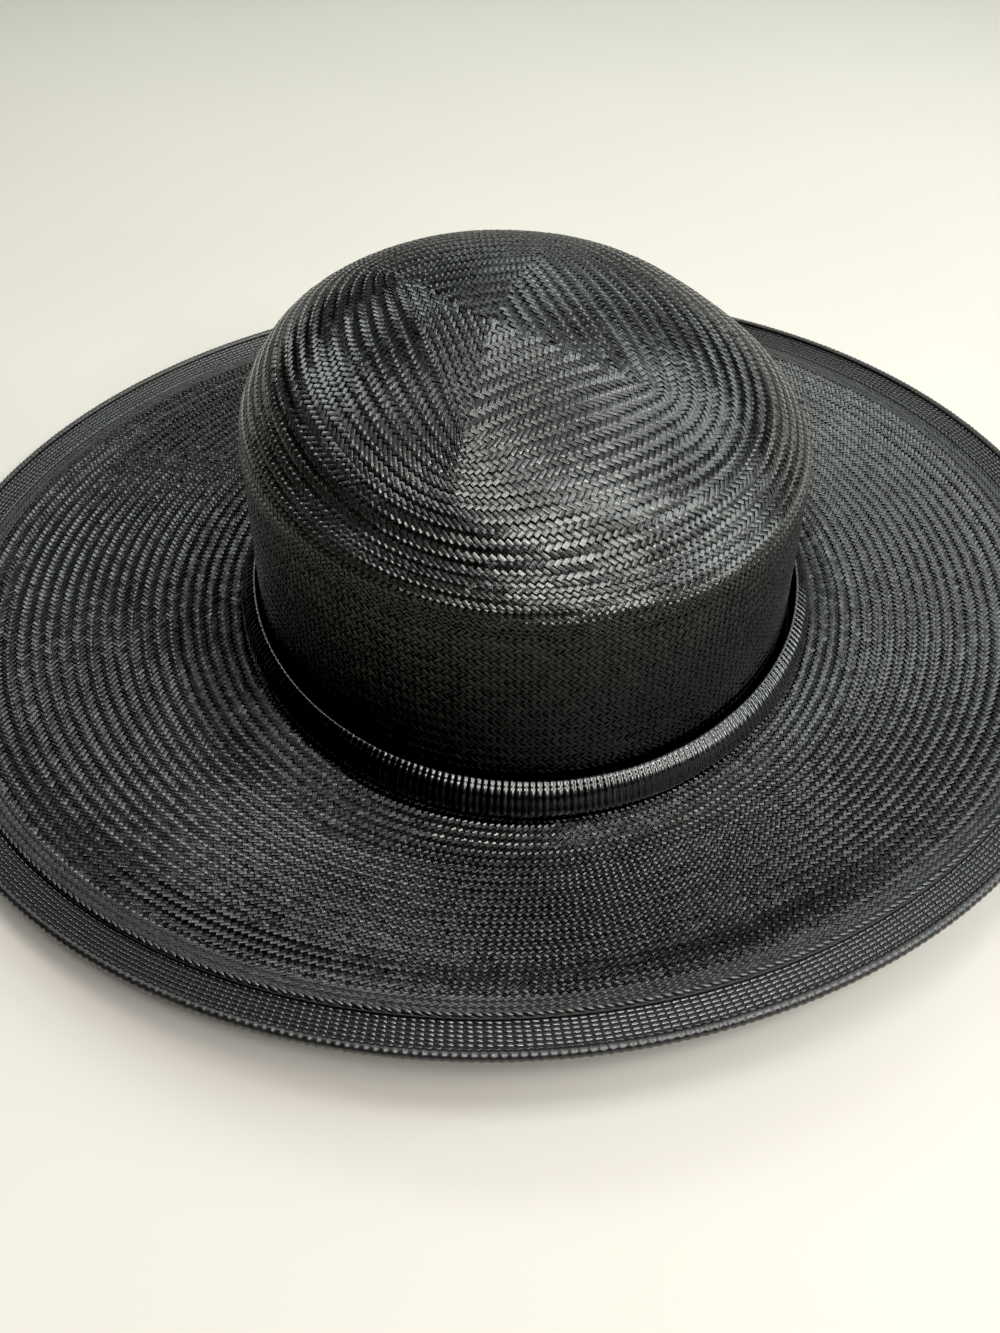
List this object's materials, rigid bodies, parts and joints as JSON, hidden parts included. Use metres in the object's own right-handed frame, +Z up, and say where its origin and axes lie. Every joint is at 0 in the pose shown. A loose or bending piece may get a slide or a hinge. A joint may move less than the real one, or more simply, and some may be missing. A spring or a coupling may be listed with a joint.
{
  "type": "wide-brim hat",
  "caption": "Black woven straw hat with a rounded crown, a wide gently upturned brim, a rolled braid band and a braid lip at the brim's edge.",
  "frame": {"origin": "on the surface the hat stands on, under the centre of the brim's round edge", "axes": "+Z up through the crown, -Y towards the front of the hat, +X across the head"},
  "size_m": [0.3682, 0.3682, 0.1001],
  "materials": {
    "straw": "glossy black dyed straw",
    "braid": "satin black crin braid"
  },
  "bodies": {
    "root": {"crown": "straw", "brim": "straw", "hat_band": "braid", "edge_binding": "braid"}
  },
  "joints": []
}
